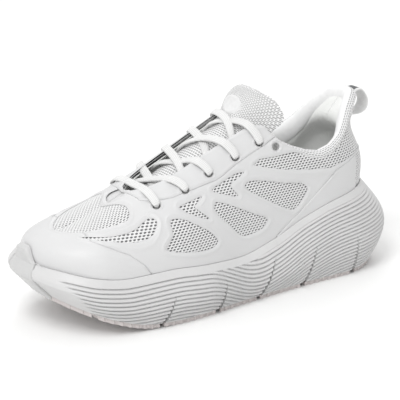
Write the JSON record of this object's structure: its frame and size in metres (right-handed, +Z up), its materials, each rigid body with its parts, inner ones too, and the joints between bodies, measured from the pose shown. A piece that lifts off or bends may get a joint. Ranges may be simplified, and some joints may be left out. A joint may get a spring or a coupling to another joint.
{
  "type": "running shoe",
  "caption": "Low lace-up running shoe for the left foot, with a thick grooved foam sole, rubber pads, mesh upper, bonded overlays, padded collar, tongue and heel loop.",
  "frame": {"origin": "middle of the shoe's footprint box, on the ground", "axes": "+X towards the heel, -Y towards the lateral (outer) side, +Z up"},
  "size_m": [0.3022, 0.1224, 0.148],
  "materials": {
    "foam": "matte moulded EVA foam",
    "toe_rubber": "smooth satin rubber",
    "pad_rubber": "satin rubber",
    "board": "matte fibre board",
    "sock_fabric": "matte knit over foam",
    "knit": "open air mesh",
    "stiffener": "matte thermoplastic sheet",
    "lining_fabric": "matte textile",
    "padding": "soft open-cell foam",
    "film": "satin bonded film",
    "tongue_knit": "padded air mesh",
    "lace_cord": "flat woven lace",
    "webbing": "woven webbing with a dark stripe"
  },
  "bodies": {
    "shoe": {"midsole": "foam", "outsole_toe_wrap": "toe_rubber", "strobel_board": "board", "sockliner": "sock_fabric", "vamp_mesh": "knit", "quarter_mesh_lateral": "knit", "quarter_mesh_medial": "knit", "heel_counter": "stiffener", "toe_puff": "stiffener", "lining": "lining_fabric", "collar_padding": "padding", "toe_cap_film": "film", "heel_panel": "film", "overlay_lateral": "film", "overlay_medial": "film", "eyestay_lateral": "film", "eyestay_medial": "film", "tongue_base": "tongue_knit", "lace": "lace_cord", "outsole_pad_lateral_1": "pad_rubber", "outsole_pad_medial_1": "pad_rubber", "outsole_pad_lateral_2": "pad_rubber", "outsole_pad_medial_2": "pad_rubber", "outsole_pad_lateral_3": "pad_rubber", "outsole_pad_medial_3": "pad_rubber", "outsole_pad_lateral_4": "pad_rubber", "outsole_pad_medial_4": "pad_rubber", "outsole_pad_lateral_5": "pad_rubber", "outsole_pad_medial_5": "pad_rubber", "outsole_pad_lateral_6": "pad_rubber", "outsole_pad_medial_6": "pad_rubber"},
    "tongue_top": {"tongue_flap": "tongue_knit"},
    "heel_loop": {"pull_tab": "webbing"}
  },
  "joints": [
    {"name": "tongue_bend", "type": "hinge", "parent": "shoe", "child": "tongue_top", "pos_m": [0.0289, 0.0016, 0.131], "axis": [0, -1, 0], "range_deg": [-8, 50], "stiffness_Nm_per_rad": 0.03},
    {"name": "heel_loop_swing", "type": "hinge", "parent": "shoe", "child": "heel_loop", "pos_m": [0.1293, 0.0016, 0.1191], "axis": [0.452, 0, 0.892], "range_deg": [-8, 8], "stiffness_Nm_per_rad": 0.02}
  ]
}
